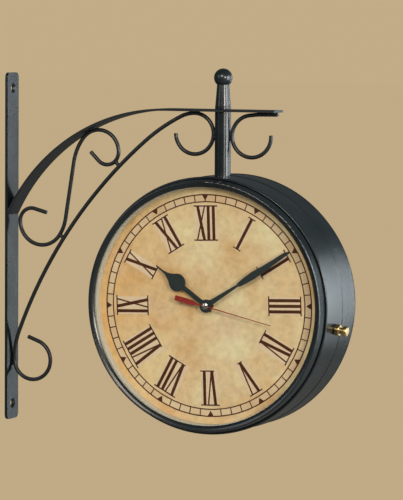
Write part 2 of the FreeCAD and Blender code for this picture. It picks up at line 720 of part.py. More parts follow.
def hour_hand():
    """Spade: straight root, round bulb drawn out into a fine point."""
    half = HOUR_ROOT_WIDTH / 2
    root_z = HOUR_BULB_AT - math.sqrt(HOUR_BULB_R ** 2 - half ** 2)
    lean = math.radians(HOUR_SHOULDER)
    flank = (HOUR_BULB_R * math.cos(lean), HOUR_BULB_AT + HOUR_BULB_R * math.sin(lean))
    tip = HOUR_TIP / 2
    waist = HOUR_WAIST / 2
    hollow = ((flank[0] + waist) / 2 - HOUR_HOLLOW, (flank[1] + HOUR_BULB_END) / 2)
    face = outline([
        (pt(half, 0), pt(half, root_z)),
        (pt(half, root_z), pt(HOUR_BULB_R, HOUR_BULB_AT), pt(*flank)),
        (pt(*flank), pt(*hollow), pt(waist, HOUR_BULB_END)),
        (pt(waist, HOUR_BULB_END), pt(tip, HOUR_LENGTH)),
        (pt(tip, HOUR_LENGTH), pt(-tip, HOUR_LENGTH)),
        (pt(-tip, HOUR_LENGTH), pt(-waist, HOUR_BULB_END)),
        (pt(-waist, HOUR_BULB_END), pt(-hollow[0], hollow[1]), pt(-flank[0], flank[1])),
        (pt(-flank[0], flank[1]), pt(-HOUR_BULB_R, HOUR_BULB_AT), pt(-half, root_z)),
        (pt(-half, root_z), pt(-half, 0)),
        (pt(-half, 0), pt(half, 0)),
    ])
    return hand(face, HOUR_HAND_BACK, HAND_THICK, HOUR_HUB_R, HOUR_PIPE_R, HOUR_ANGLE)


def minute_hand():
    """Slim root that narrows to a waist, then a leaf that swells and tapers to the tip."""
    root = MINUTE_ROOT_WIDTH / 2
    waist = MINUTE_WAIST / 2
    step = MINUTE_STEP / 2
    belly = MINUTE_BELLY / 2
    tip = MINUTE_TIP / 2
    end = MINUTE_LENGTH - tip
    swell = pt((step + belly) / 2 + MINUTE_SWELL, (MINUTE_BLADE_AT + MINUTE_BELLY_AT) / 2)
    taper = pt((belly + tip) / 2 + MINUTE_TAPER, (MINUTE_BELLY_AT + end) / 2)

    def left(p):
        return Vector(-p.x, 0, p.z)

    bits = [
        (pt(root, 0), pt(waist, MINUTE_BLADE_AT)),
        (pt(waist, MINUTE_BLADE_AT), pt(step, MINUTE_BLADE_AT + MINUTE_SHOULDER)),
        (pt(step, MINUTE_BLADE_AT + MINUTE_SHOULDER), swell, pt(belly, MINUTE_BELLY_AT)),
        (pt(belly, MINUTE_BELLY_AT), taper, pt(tip, end)),
    ]
    mirrored = [tuple(left(p) for p in reversed(bit)) for bit in reversed(bits)]
    round_tip = [(pt(tip, end), pt(0, MINUTE_LENGTH), pt(-tip, end))]
    base = [(pt(-root, 0), pt(root, 0))]
    face = outline(bits + round_tip + mirrored + base)
    return hand(face, MINUTE_HAND_BACK, HAND_THICK, MINUTE_HUB_R, MINUTE_ARBOR_R, MINUTE_ANGLE)


def second_hand():
    """Fine needle with a broad flat tail."""
    needle = SECOND_NEEDLE / 2
    tail = SECOND_TAIL_WIDTH / 2
    face = polygon([
        pt(needle, 0), pt(needle * 0.6, SECOND_LENGTH), pt(-needle * 0.6, SECOND_LENGTH), pt(-needle, 0),
        pt(-needle * 1.6, -SECOND_TAIL_ROOT + 4), pt(-tail, -SECOND_TAIL_ROOT), pt(-tail, -SECOND_TAIL),
        pt(tail, -SECOND_TAIL), pt(tail, -SECOND_TAIL_ROOT), pt(needle * 1.6, -SECOND_TAIL_ROOT + 4),
    ])
    return hand(face, SECOND_HAND_BACK, SECOND_HAND_THICK, CAP_R, SECOND_PIN_R, SECOND_ANGLE)


def second_cap():
    """Domed cap over the second hand, turned in one piece with the pin that drives it."""
    back = SECOND_HAND_BACK + SECOND_HAND_THICK
    rim = back + CAP_RIM
    rise = CAP_TOP - rim
    dome_r = (CAP_R ** 2 + rise ** 2) / (2 * rise)
    half = math.asin(CAP_R / dome_r) / 2
    middle = (dome_r * math.sin(half), CAP_TOP - dome_r * (1 - math.cos(half)))
    return turned([
        ((0, SECOND_PIN_ROOT), (SECOND_PIN_R, SECOND_PIN_ROOT)),
        ((SECOND_PIN_R, SECOND_PIN_ROOT), (SECOND_PIN_R, back)),
        ((SECOND_PIN_R, back), (CAP_R, back)),
        ((CAP_R, back), (CAP_R, rim)),
        ((CAP_R, rim), middle, (0, CAP_TOP)),
        ((0, CAP_TOP), (0, SECOND_PIN_ROOT)),
    ])


def hour_pipe():
    return ring(HOUR_PIPE_R, MINUTE_ARBOR_R + RUNNING_FIT, HOUR_PIPE_TOP, HOUR_PIPE_ROOT)


def minute_arbor():
    return ring(MINUTE_ARBOR_R, SECOND_PIN_R + RUNNING_FIT, MINUTE_ARBOR_TOP, MINUTE_ARBOR_ROOT)


# ---- thumbscrew clamp, drawn along +X from the drum's axis ---------------------------------
def stub(radius, start, length):
    return Part.makeCylinder(radius, length, Vector(start, 0, 0), Vector(1, 0, 0))


def clamp_levels():
    """Heights of the clamp's pieces above the drum's axis."""
    fork_top = SHELL_IN - FORK_DROP
    bar_top = fork_top - FORK_THICK - CLAMP_BAR_GAP
    crown = bar_top - CLAMP_BAR_THICK - CLAMP_TRAVEL - HAT_CLEAR
    return fork_top, bar_top, crown


def thumb_screw():
    crown = clamp_levels()[2]
    ferrule = DRUM_R + THUMB_LIFT
    neck = ferrule + THUMB_FERRULE
    head = neck + THUMB_NECK
    screw = stub(THUMB_SHANK_R, crown - HAT_THICK, ferrule - crown + HAT_THICK)
    collar = stub(THUMB_FERRULE_R, ferrule, THUMB_FERRULE)
    collar = collar.makeFillet(0.8, [e for e in collar.Edges if e.Closed])
    knob = stub(THUMB_HEAD_R, head, THUMB_HEAD)
    knob = knob.makeFillet(1.6, [e for e in knob.Edges if e.Closed])
    screw = screw.fuse([collar, stub(THUMB_NECK_R, neck - 1, THUMB_NECK + 2), knob])
    return radial(screw.removeSplitter())


def screw_clip():
    """Snap ring that keeps the thumbscrew in the shell."""
    top = SHELL_IN - CLIP_DROP
    ring_ = stub(CLIP_R, top - CLIP_THICK, CLIP_THICK).cut(stub(THUMB_SHANK_R, top - CLIP_THICK, CLIP_THICK))
    mouth = box(top - CLIP_THICK, top, -THUMB_SHANK_R * 0.8, THUMB_SHANK_R * 0.8, -CLIP_R, 0)
    return radial(ring_.cut(mouth))


def clamp_bar():
    """Threaded bar that the thumbscrew draws up against the fork."""
    top = clamp_levels()[1]
    half = CLAMP_BAR_LENGTH / 2
    bar = box(top - CLAMP_BAR_THICK, top, -CLAMP_BAR_WIDTH / 2, CLAMP_BAR_WIDTH / 2, -half, half)
    return radial(bar.cut(stub(THUMB_SHANK_R + RUNNING_FIT, top - CLAMP_BAR_THICK, CLAMP_BAR_THICK)))


def clamp_bracket():
    """Hat bracket on the front shell: its legs keep the bar from turning."""
    crown = clamp_levels()[2]
    half = HAT_INNER / 2
    leg = half + HAT_THICK
    foot = leg + HAT_FOOT
    y = HAT_WIDTH / 2
    under_foot = SHELL_IN - HAT_THICK - 2.2
    hat = box(crown - HAT_THICK, crown, -y, y, -leg, leg)
    for side in (-1, 1):
        low, high = sorted((side * half, side * leg))
        hat = hat.fuse(box(crown - HAT_THICK, DRUM_R, -y, y, low, high))
        low, high = sorted((side * leg, side * foot))
        hat = hat.fuse(box(under_foot, DRUM_R, -y, y, low, high))
    inside = Part.makeCylinder(SHELL_IN, 2 * y, Vector(0, -y, 0), Y_AXIS)
    hat = hat.common(inside).cut(stub(THUMB_SHANK_R + RUNNING_FIT, crown - HAT_THICK, HAT_THICK))
    return radial(hat.removeSplitter())


def latch_fork():
    """Slotted tongue of the rear shell: it slips off the screw as the rear half swings."""
    top = clamp_levels()[0]
    shift = CLAMP_FRONT
    tip = shift - FORK_TIP
    foot = shift + FORK_FOOT
    half = FORK_WIDTH / 2
    tongue = box(top - FORK_THICK, top, tip, foot + FORK_FOOT_LENGTH, -half, half)
    riser = box(top - FORK_THICK, DRUM_R, foot, foot + FORK_FOOT_LENGTH, -half, half)
    inside = Part.makeCylinder(SHELL_IN, foot + FORK_FOOT_LENGTH - tip, Vector(0, tip, 0), Y_AXIS)
    fork = tongue.fuse(riser).common(inside)
    slot_end = FORK_SLOT
    slot = box(top - FORK_THICK, top, tip, slot_end, -FORK_SLOT / 2, FORK_SLOT / 2)
    slot = slot.fuse(stub(FORK_SLOT / 2, top - FORK_THICK, FORK_THICK).translated(Vector(0, slot_end, 0)))
    return radial(fork.cut(slot).removeSplitter())


# ---- hinge, on the drum's -X side ----------------------------------------------------------
def hinge_place():
    return Vector(-(DRUM_R + HINGE_OUT), SEAM, 0)


def hinge_leaf(side, knuckles):
    """A leaf curved to the shell. side is -1 for the fixed leaf and 1 for the swinging one."""
    axis = hinge_place()
    half = HINGE_HEIGHT / 2
    edge = HINGE_BARREL_R + HINGE_LEAF_ROOT
    near, far = sorted((SEAM + side * edge, SEAM + side * HINGE_LEAF))
    wide = box(-DRUM_R - HINGE_SWEEP, -DRUM_R / 2, near, far, -half, half)
    parts = [wide]
    barrels = []
    for low, high in knuckles:
        a, b = sorted((SEAM, SEAM + side * (edge + 1)))
        parts.append(box(-DRUM_R - HINGE_SWEEP, -DRUM_R / 2, a, b, low, high))
        barrels.append(Part.makeCylinder(HINGE_BARREL_R, high - low, axis + Vector(0, 0, low), Z_AXIS))
    reach = 2 * HINGE_LEAF
    skin = Part.makeCylinder(DRUM_R + HINGE_LEAF_THICK, reach, Vector(0, SEAM - HINGE_LEAF, 0), Y_AXIS)
    skin = skin.cut(Part.makeCylinder(DRUM_R, reach, Vector(0, SEAM - HINGE_LEAF, 0), Y_AXIS))
    leaf = skin.common(parts[0].fuse(parts[1:]))
    if side > 0:
        bead_r = DRUM_R + SEAM_BEAD_PROUD + HINGE_BEAD_CLEAR
        bead_end = SEAM_GAP + 2 * SEAM_BEAD_R + HINGE_BEAD_CLEAR
        leaf = leaf.cut(Part.makeCylinder(bead_r, bead_end, Vector(0, SEAM, 0), Y_AXIS))
    leaf = leaf.fuse(barrels)
    hole = Part.makeCylinder(HINGE_PIN_R + HINGE_PIN_FIT, HINGE_HEIGHT + 2, axis - Vector(0, 0, half + 1), Z_AXIS)
    return leaf.cut(hole).removeSplitter()


def hinge_knuckles():
    """Knuckles of the fixed leaf, and of the swinging leaf between them."""
    half = HINGE_HEIGHT / 2
    middle = HINGE_MIDDLE / 2
    fixed = [(-half, -middle - HINGE_KNUCKLE_GAP), (middle + HINGE_KNUCKLE_GAP, half)]
    return fixed, [(-middle, middle)]


def hinge_pin():
    half = HINGE_HEIGHT / 2
    axis = hinge_place()
    pin = Part.makeCylinder(HINGE_PIN_R, HINGE_HEIGHT + 1, axis - Vector(0, 0, half + 0.5), Z_AXIS)
    head = Part.makeCylinder(HINGE_BARREL_R, 0.9, axis + Vector(0, 0, half), Z_AXIS)
    return pin.fuse(head)


# ---- write every piece --------------------------------------------------------------------
def save(name, shape):
    if not shape.isValid():
        print("NOT VALID", name)
    shape.exportStep("parts/%s.step" % name)


def main():
    os.makedirs("parts", exist_ok=True)
    bracket = {
        "wall_bar": wall_bar, "arch_strip": arch_strip, "long_scroll": long_scroll,
        "short_scroll": short_scroll, "end_scroll": end_scroll, "post_tube": post_tube,
        "tie_rod": tie_rod, "tie_rod_washer": tie_rod_washer, "tie_rod_nut": tie_rod_nut,
        "finial_collar": finial_collar, "finial": finial,
    }
    for name, make in bracket.items():
        save(name, make())

    both_sides = {
        "bezel": bezel, "glass": glass, "spacer_ring": spacer_ring, "dial": dial,
        "retaining_ring": retaining_ring, "movement_case": movement_case, "battery": battery,
        "battery_contacts": battery_contacts, "centre_bush": centre_bush,
        "bush_washer": bush_washer, "bush_nut": bush_nut, "setting_knob": setting_knob,
        "hour_pipe": hour_pipe, "hour_hand": hour_hand, "minute_arbor": minute_arbor,
        "minute_hand": minute_hand, "second_hand": second_hand, "second_cap": second_cap,
    }
    for name, make in both_sides.items():
        shape = make()
        save("front_" + name, at_drum(shape))
        save("rear_" + name, at_drum(facing_back(shape)))

    fixed, swinging = hinge_knuckles()
    drum = {
        "front_shell": front_shell(), "coupling_band": coupling_band(), "rear_shell": rear_shell(),
        "thumb_screw": thumb_screw(), "screw_clip": screw_clip(), "clamp_bar": clamp_bar(),
        "clamp_bracket": clamp_bracket(), "latch_fork": latch_fork(),
        "hinge_leaf_fixed": hinge_leaf(-1, fixed), "hinge_leaf_door": hinge_leaf(1, swinging),
        "hinge_pin": hinge_pin(),
    }
    for name, shape in drum.items():
        save(name, at_drum(shape))


main()
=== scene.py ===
"""Looks of the double sided station clock: enamelled bracket and drum, aged paper dials."""

import bpy
import json
import math
from mathutils import Matrix, Vector


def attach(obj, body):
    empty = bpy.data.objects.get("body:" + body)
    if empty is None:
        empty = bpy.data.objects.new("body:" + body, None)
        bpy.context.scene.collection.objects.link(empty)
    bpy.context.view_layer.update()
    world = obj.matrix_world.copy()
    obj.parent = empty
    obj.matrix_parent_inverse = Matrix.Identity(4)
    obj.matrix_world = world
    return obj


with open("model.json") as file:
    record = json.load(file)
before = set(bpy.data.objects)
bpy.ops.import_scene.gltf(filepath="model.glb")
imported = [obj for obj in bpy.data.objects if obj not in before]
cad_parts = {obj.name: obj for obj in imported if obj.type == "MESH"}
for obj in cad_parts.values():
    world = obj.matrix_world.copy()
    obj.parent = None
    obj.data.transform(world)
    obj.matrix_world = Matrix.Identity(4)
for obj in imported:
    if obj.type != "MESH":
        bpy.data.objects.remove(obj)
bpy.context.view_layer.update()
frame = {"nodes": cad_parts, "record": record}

MM = 0.001
REACH = 236.0            # wall to the drum's axis
DRUM_Z = -48.9           # drum's axis, from the wall bar's centre
DRUM_R = 127.5
DIAL_FRONT = 35.0        # dial's face from the drum's mid-plane
BARE_BELOW = 0.4         # deeper than this under its face, a dial is bare metal
CASE_BACK = 18.2         # movement case's back from the mid-plane
KNOB_SIDE = 14.0         # setting knob from the drum's axis, sideways and up
KNOB_RISE = 12.0
CELL_BAND = 11.0         # copper band starts this far past the drum's axis
STRIP_END = REACH + 59.5    # free end of the bracket's strip

TRACK_OUTER = 110.0      # radii of the minute track's two lines
TRACK_INNER = 103.0
OUTER_LINE = 1.25        # their widths, and the minute strokes'
INNER_LINE = 1.15
MINUTE_LINE = 1.05
WEDGE_HALF = 4.1         # an hour's wedge: a triangle on a circle drawn out to this half width
WEDGE_RISE = 3.9         # and this half height
WEDGE_PROUD = 0.2        # and standing this far past the outer line
NUMERAL_HEAD = 98.8      # radii of the numerals' heads and feet
NUMERAL_FOOT = 65.0
PRINT_TURN = -2.0        # the print sits a little round from upright


# ---- small helpers ------------------------------------------------------------------------
def only(*objects):
    """Selects these objects alone, the first one active."""
    for other in list(bpy.context.selected_objects):
        other.select_set(False)
    for piece in objects:
        piece.select_set(True)
    bpy.context.view_layer.objects.active = objects[0] if objects else None


def settle(piece):
    """Puts the piece's place into its mesh."""
    only(piece)
    bpy.ops.object.transform_apply(location=True, rotation=True, scale=True)
    return piece


def twin(piece):
    """A copy with a mesh of its own."""
    other = piece.copy()
    other.data = piece.data.copy()
    bpy.context.collection.objects.link(other)
    return other


def join(pieces):
    only(*pieces)
    if len(pieces) > 1:
        bpy.ops.object.join()
    return bpy.context.view_layer.objects.active


def shift(piece, x=0.0, y=0.0, z=0.0):
    piece.data.transform(Matrix.Translation((x * MM, y * MM, z * MM)))
    return piece


def turn(piece, degrees, axis="Y", about=(0, 0, 0)):
    centre = Matrix.Translation(Vector(about) * MM)
    spin = Matrix.Rotation(math.radians(degrees), 4, axis)
    piece.data.transform(centre @ spin @ centre.inverted())
    return piece


def applied(piece, kind, **settings):
    """Adds a modifier and applies it."""
    only(piece)
    modifier = piece.modifiers.new(kind.lower(), kind)
    for key, value in settings.items():
        setattr(modifier, key, value)
    bpy.ops.object.modifier_apply(modifier=modifier.name)
    return piece


def smooth(piece):
    only(piece)
    bpy.ops.object.shade_smooth_by_angle(angle=math.radians(60))
    return piece


def placed(piece, name, body, material):
    """Names a finished piece, paints it and hangs it on its body."""
    piece.name = name
    piece.data.name = name
    piece.data.materials.clear()
    piece.data.materials.append(material)
    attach(piece, body)


# ---- materials ----------------------------------------------------------------------------
def colour(text):
    """sRGB hex to the linear colour that the shaders take."""
    parts = [int(text[i:i + 2], 16) / 255 for i in (1, 3, 5)]
    linear = [c / 12.92 if c <= 0.04045 else ((c + 0.055) / 1.055) ** 2.4 for c in parts]
    return (*linear, 1.0)


def add(tree, kind, settings=None, to=None, **inputs):
    """One node with its settings and links, its first output linked to the socket `to`.

    An input is a value, an sRGB hex or another node's socket, and "stops" are a ramp's.
    """
    made = tree.nodes.new(kind)
    for key, value in (settings or {}).items():
        if key != "stops":
            setattr(made, key, value)
            continue
        elements = made.color_ramp.elements
        while len(elements) < len(value):
            elements.new(0.5)
        for element, (at, shade) in zip(elements, value):
            element.position = at
            element.color = colour(shade) if isinstance(shade, str) else (shade, shade, shade, 1.0)
    for key, value in inputs.items():
        number = key[1:] if key[0] == "i" else ""
        socket = made.inputs[int(number) if number.isdigit() else key.replace("_", " ")]
        if isinstance(value, bpy.types.NodeSocket):
            tree.links.new(value, socket)
        else:
            socket.default_value = colour(value) if isinstance(value, str) else value
    if to is not None:
        tree.links.new(made.outputs[0], to)
    return made


def finish_named(name, **sockets):
    """A new material: its tree, its shader and the place on the piece in metres."""
    made = bpy.data.materials.new(name)
    made.use_nodes = True
    tree = made.node_tree
    shader = next(n for n in tree.nodes if n.type == "BSDF_PRINCIPLED")
    for key, value in sockets.items():
        shader.inputs[key.replace("_", " ")].default_value = value
    place = add(tree, "ShaderNodeTexCoord").outputs["Object"]
    return made, tree, shader.inputs, place


def stove_enamel(name, dark, light, dull, duller):
    # semi-gloss enamel baked on sheet and bar steel: near black with a blue-green cast, faint
    # orange peel about 4 mm across, a little duller in patches 45 mm across where hands wiped it
    made, tree, skin, place = finish_named(name, IOR=1.5, Coat_Weight=0.25, Coat_Roughness=0.12)
    patches = add(tree, "ShaderNodeTexNoise", Vector=place, Scale=22.0, Detail=4.0,
                  Roughness=0.6).outputs["Fac"]
    add(tree, "ShaderNodeValToRGB", {"stops": ((0.35, dark), (0.68, light))},
        to=skin["Base Color"], i0=patches)
    add(tree, "ShaderNodeValToRGB", {"stops": ((0.3, dull), (0.7, duller))},
        to=skin["Roughness"], i0=patches)
    peel = add(tree, "ShaderNodeTexNoise", Vector=place, Scale=250.0, Detail=2.0).outputs["Fac"]
    add(tree, "ShaderNodeBump", to=skin["Normal"], Strength=0.02, Distance=0.05 * MM, Height=peel)
    return made


def zinc_plate():
    # bright zinc plate on steel fasteners: pale grey metal with uneven spangle about 1 mm across
    made, tree, skin, place = finish_named("bright_zinc_plate", Metallic=1.0)
    spangle = add(tree, "ShaderNodeTexNoise", Vector=place, Scale=900.0, Detail=3.0).outputs["Fac"]
    add(tree, "ShaderNodeValToRGB", {"stops": ((0.35, "#a9adb2"), (0.7, "#d0d3d6"))},
        to=skin["Base Color"], i0=spangle)
    add(tree, "ShaderNodeValToRGB", {"stops": ((0.3, 0.28), (0.7, 0.44))},
        to=skin["Roughness"], i0=spangle)
    return made


def turned_brass():
    # free-cutting brass, turned and polished, lightly tarnished in spots 2 to 3 mm across
    made, tree, skin, place = finish_named("turned_brass", Metallic=1.0)
    tarnish = add(tree, "ShaderNodeTexNoise", Vector=place, Scale=420.0, Detail=4.0,
                  Roughness=0.6).outputs["Fac"]
    add(tree, "ShaderNodeValToRGB", {"stops": ((0.36, "#c39c58"), (0.66, "#ecd6a4"))},
        to=skin["Base Color"], i0=tarnish)
    add(tree, "ShaderNodeValToRGB", {"stops": ((0.3, 0.16), (0.72, 0.34))},
        to=skin["Roughness"], i0=tarnish)
    add(tree, "ShaderNodeBump", to=skin["Normal"], Strength=0.08, Distance=0.05 * MM,
        Height=tarnish)
    return made


def clear_glass():
    # 2 mm float glass, nearly invisible from the front, with smears about 70 mm across. Here it
    # is a thin clear film with a dark green-grey tint, because refraction in a shader that is
    # also see-through would print a ghost beside every numeral
    made, tree, skin, place = finish_named("float_glass", IOR=1.52, Alpha=0.05, Roughness=0.03)
    smear = add(tree, "ShaderNodeTexNoise", Vector=place, Scale=14.0, Detail=2.0).outputs["Fac"]
    add(tree, "ShaderNodeValToRGB", {"stops": ((0.3, "#27302d"), (0.7, "#333d39"))},
        to=skin["Base Color"], i0=smear)
    return made


def aged_paper(name, side):
    # printed paper on sheet aluminium, made to look aged: cream and yellow clouds about 50 mm
    # across, an orange stain towards the nine o'clock edge, pinkish patches and a fibre mottle
    # of about 7 mm, coarser than real fibres so that it shows. Both dials are also paler in
    # patches towards the top. The sheet's back is bare metal
    made, tree, skin, place = finish_named(name, IOR=1.45, Specular_IOR_Level=0.35)
    centred = add(tree, "ShaderNodeMapping", Vector=place,
                  Location=(-REACH * MM, 0.0, -DRUM_Z * MM)).outputs["Vector"]
    axes = add(tree, "ShaderNodeSeparateXYZ", Vector=centred).outputs
    clouds = {
        mark: add(tree, "ShaderNodeTexNoise", {"noise_dimensions": "4D"}, Vector=centred,
                  W=side * 3.7 + seed, Scale=scale, Detail=detail, Roughness=0.6).outputs["Fac"]
        for mark, scale, detail, seed in (
            ("tone", 20.0, 5.0, 1.9), ("stain", 10.0, 3.0, 5.1), ("pink", 26.0, 4.0, 9.3),
            ("paler_above", 14.0, 4.0, 12.7), ("fibre", 150.0, 5.0, 2.2))
    }
    tone = add(tree, "ShaderNodeValToRGB", {"stops": (
        (0.34, "#dfb478"), (0.45, "#ebcc98"), (0.55, "#f0daa8"), (0.66, "#f4e8b8"))},
        i0=clouds["tone"]).outputs["Color"]
    lean = add(tree, "ShaderNodeMath", {"operation": "MULTIPLY_ADD"}, i0=axes["X"],
               i1=-9.0 * side, i2=-0.08).outputs[0]
    stain = add(tree, "ShaderNodeMath", {"operation": "MULTIPLY", "use_clamp": True}, i0=lean,
                i1=clouds["stain"]).outputs[0]
    pink = add(tree, "ShaderNodeValToRGB", {"stops": ((0.52, 0.0), (0.66, 0.55))},
               i0=clouds["pink"]).outputs["Color"]
    # paler towards the top: pale patches that grow with height, the same on both dials
    rise = add(tree, "ShaderNodeMath", {"operation": "MULTIPLY_ADD", "use_clamp": True},
               i0=axes["Z"], i1=3.0, i2=0.10).outputs[0]
    paler_above = add(tree, "ShaderNodeMath", {"operation": "MULTIPLY", "use_clamp": True}, i0=rise,
                i1=clouds["paler_above"]).outputs[0]
    for share, over in ((stain, "#e8a648"), (pink, "#e6c09c"), (paler_above, "#e9dfae")):
        tone = add(tree, "ShaderNodeMix", {"data_type": "RGBA"}, i0=share, i6=tone,
                   i7=over).outputs[2]
    mottle = add(tree, "ShaderNodeValToRGB", {"stops": ((0.36, 0.83), (0.58, 1.0))},
                 i0=clouds["fibre"]).outputs["Color"]
    flecked = add(tree, "ShaderNodeMix", {"data_type": "RGBA", "blend_type": "MULTIPLY"}, i0=0.85,
                  i6=tone, i7=mottle).outputs[2]
    depth = add(tree, "ShaderNodeMath", {"operation": "ABSOLUTE"}, i0=axes["Y"]).outputs[0]
    on_back = add(tree, "ShaderNodeMath", {"operation": "LESS_THAN"}, to=skin["Metallic"],
                  i0=depth, i1=(DIAL_FRONT - BARE_BELOW) * MM).outputs[0]
    faces = add(tree, "ShaderNodeMix", {"data_type": "RGBA"}, i0=on_back, i6=flecked, i7="#b4b6b8")
    tree.links.new(faces.outputs[2], skin["Base Color"])
    add(tree, "ShaderNodeValToRGB", {"stops": ((0.0, 0.62), (1.0, 0.38))},
        to=skin["Roughness"], i0=on_back)
    add(tree, "ShaderNodeBump", to=skin["Normal"], Strength=0.05, Distance=0.05 * MM,
        Height=clouds["fibre"])
    return made


def printed_ink(name, dark, light, scale=70.0):
    # printing ink on the paper: matt, uneven in patches 14 mm across (at this scale) where the
    # paper took less of it
    made, tree, skin, place = finish_named(name, Roughness=0.6, IOR=1.45, Specular_IOR_Level=0.3)
    uneven = add(tree, "ShaderNodeTexNoise", Vector=place, Scale=scale, Detail=4.0).outputs["Fac"]
    add(tree, "ShaderNodeValToRGB", {"stops": ((0.35, dark), (0.75, light))},
        to=skin["Base Color"], i0=uneven)
    return made


def lacquer(name, dark, light):
    # thin lacquer on stamped aluminium: smooth satin, faint rolling grain 2 to 3 mm across
    made, tree, skin, place = finish_named(name, IOR=1.5)
    grain = add(tree, "ShaderNodeTexNoise", Vector=place, Scale=380.0, Detail=2.0).outputs["Fac"]
    add(tree, "ShaderNodeValToRGB", {"stops": ((0.3, dark), (0.7, light))},
        to=skin["Base Color"], i0=grain)
    add(tree, "ShaderNodeValToRGB", {"stops": ((0.3, 0.34), (0.7, 0.46))},
        to=skin["Roughness"], i0=grain)
    return made


def moulding(name, dark, light, rough):
    # injection moulded, with a spark-eroded texture drawn 1 to 2 mm across, coarser than the
    # real one so that it shows
    made, tree, skin, place = finish_named(name, IOR=1.53)
    grit = add(tree, "ShaderNodeTexNoise", Vector=place, Scale=600.0, Detail=2.0).outputs["Fac"]
    add(tree, "ShaderNodeValToRGB", {"stops": ((0.3, dark), (0.7, light))},
        to=skin["Base Color"], i0=grit)
    add(tree, "ShaderNodeValToRGB", {"stops": ((0.3, rough - 0.05), (0.7, rough + 0.08))},
        to=skin["Roughness"], i0=grit)
    add(tree, "ShaderNodeBump", to=skin["Normal"], Strength=0.15, Distance=0.05 * MM, Height=grit)
    return made


def cell_sleeve(name, side):
    # plastic sleeve on an AA cell: glossy black with scuffs about 3 mm across, and a
    # copper-coloured band at its positive end
    made, tree, skin, place = finish_named(name, IOR=1.5, Roughness=0.28)
    axes = add(tree, "ShaderNodeSeparateXYZ", Vector=place).outputs
    past = add(tree, "ShaderNodeMath", {"operation": "MULTIPLY_ADD"}, i0=axes["X"],
               i1=float(side), i2=-(side * REACH + CELL_BAND) * MM).outputs[0]
    band = add(tree, "ShaderNodeMath", {"operation": "GREATER_THAN"}, i0=past, i1=0.0).outputs[0]
    scuffs = add(tree, "ShaderNodeTexNoise", Vector=place, Scale=300.0, Detail=3.0).outputs["Fac"]
    black, copper = (
        add(tree, "ShaderNodeValToRGB", {"stops": ((0.3, dark), (0.7, light))},
            i0=scuffs).outputs["Color"]
        for dark, light in (("#18181b", "#242428"), ("#a8693c", "#bd7c4b")))
    both = add(tree, "ShaderNodeMix", {"data_type": "RGBA"}, i0=band, i6=black, i7=copper)
    tree.links.new(both.outputs[2], skin["Base Color"])
    return made


def nickel_cap():
    # nickel plated brass cap: bright, slightly warm grey, hazed in spots 1 to 2 mm across
    made, tree, skin, place = finish_named("nickel_plate", Metallic=1.0)
    haze = add(tree, "ShaderNodeTexNoise", Vector=place, Scale=700.0, Detail=2.0).outputs["Fac"]
    add(tree, "ShaderNodeValToRGB", {"stops": ((0.3, "#b9b3a8"), (0.7, "#ddd9d0"))},
        to=skin["Base Color"], i0=haze)
    add(tree, "ShaderNodeValToRGB", {"stops": ((0.3, 0.18), (0.7, 0.3))},
        to=skin["Roughness"], i0=haze)
    return made


ENAMEL = stove_enamel("stove_enamel", "#10171a", "#192125", 0.22, 0.31)
ROD_ENAMEL = stove_enamel("dull_stove_enamel", "#0f1416", "#161c1f", 0.42, 0.5)
ZINC = zinc_plate()
BRASS = turned_brass()
GLASS = clear_glass()
PAPER_FRONT = aged_paper("aged_paper_front", 1)
PAPER_REAR = aged_paper("aged_paper_rear", -1)
INK = printed_ink("brown_printing_ink", "#45200a", "#572c0e")
GROUND_INK = printed_ink("pale_printing_ink", "#e6cba6", "#eedab8")
WASH_INK = printed_ink("pink_wash_ink", "#dcbd92", "#ecd8b2", 30.0)
HAND_BLACK = lacquer("blue_black_lacquer", "#1f2a2a", "#273333")
HAND_RED = lacquer("red_lacquer", "#86201a", "#9b2a20")
BLACK_ABS = moulding("black_abs", "#161718", "#1e1f20", 0.5)
WHITE_PS = moulding("white_polystyrene", "#b9b7a6", "#c8c6b6", 0.45)
SLEEVE_FRONT = cell_sleeve("cell_sleeve_front", 1)
SLEEVE_REAR = cell_sleeve("cell_sleeve_rear", -1)
RUBBER = moulding("nitrile_rubber", "#101010", "#191919", 0.8)
NICKEL = nickel_cap()

BY_SLOT = {
    "black_paint": ENAMEL, "zinc_steel": ZINC, "brass": BRASS, "glass": GLASS,
    "white_plastic": WHITE_PS, "black_plastic": BLACK_ABS, "black_rubber": RUBBER,
    "hand_black": HAND_BLACK, "hand_red": HAND_RED, "cap_metal": NICKEL,
}
BY_SIDE = {
    "printed_dial": {"front": PAPER_FRONT, "rear": PAPER_REAR},
    "battery_sleeve": {"front": SLEEVE_FRONT, "rear": SLEEVE_REAR},
}
DULLER = ("arch_strip", "long_scroll", "short_scroll", "end_scroll")
for subpart in frame["record"]["subparts"]:
    name, slot = subpart["node"], subpart["material_slot"]
    if name in DULLER:
        finish = ROD_ENAMEL
    elif slot in BY_SIDE:
        finish = BY_SIDE[slot][name.split("_")[0]]
    else:
        finish = BY_SLOT[slot]
    node = frame["nodes"][name]
    node.data.materials.clear()
    node.data.materials.append(finish)


# ---- what is printed on the dials ---------------------------------------------------------
def pen_stroke(foot_x, head_x, width, foot, head):
    """One upright or leaning stroke: a plane of the pen's width between two heights."""
    middle = (foot + head) / 2 * MM
    only()
    bpy.ops.mesh.primitive_plane_add(size=1.0, location=(foot_x * MM, 0, middle),
                                     rotation=(math.pi / 2, 0, 0))
    stroke = bpy.context.active_object
    stroke.scale = (width * MM, (head - foot) * MM, 1)
    settle(stroke)
    if head_x != foot_x:
        only(stroke)
        bpy.ops.object.mode_set(mode="EDIT")
        bpy.ops.mesh.select_mode(type="VERT")
        bpy.ops.mesh.select_all(action="DESELECT")
        bpy.ops.object.mode_set(mode="OBJECT")
        for vertex in stroke.data.vertices:
            vertex.select = vertex.co.z > middle
        bpy.ops.object.mode_set(mode="EDIT")
        bpy.ops.transform.translate(value=((head_x - foot_x) * MM, 0, 0))
        bpy.ops.object.mode_set(mode="OBJECT")
    return stroke


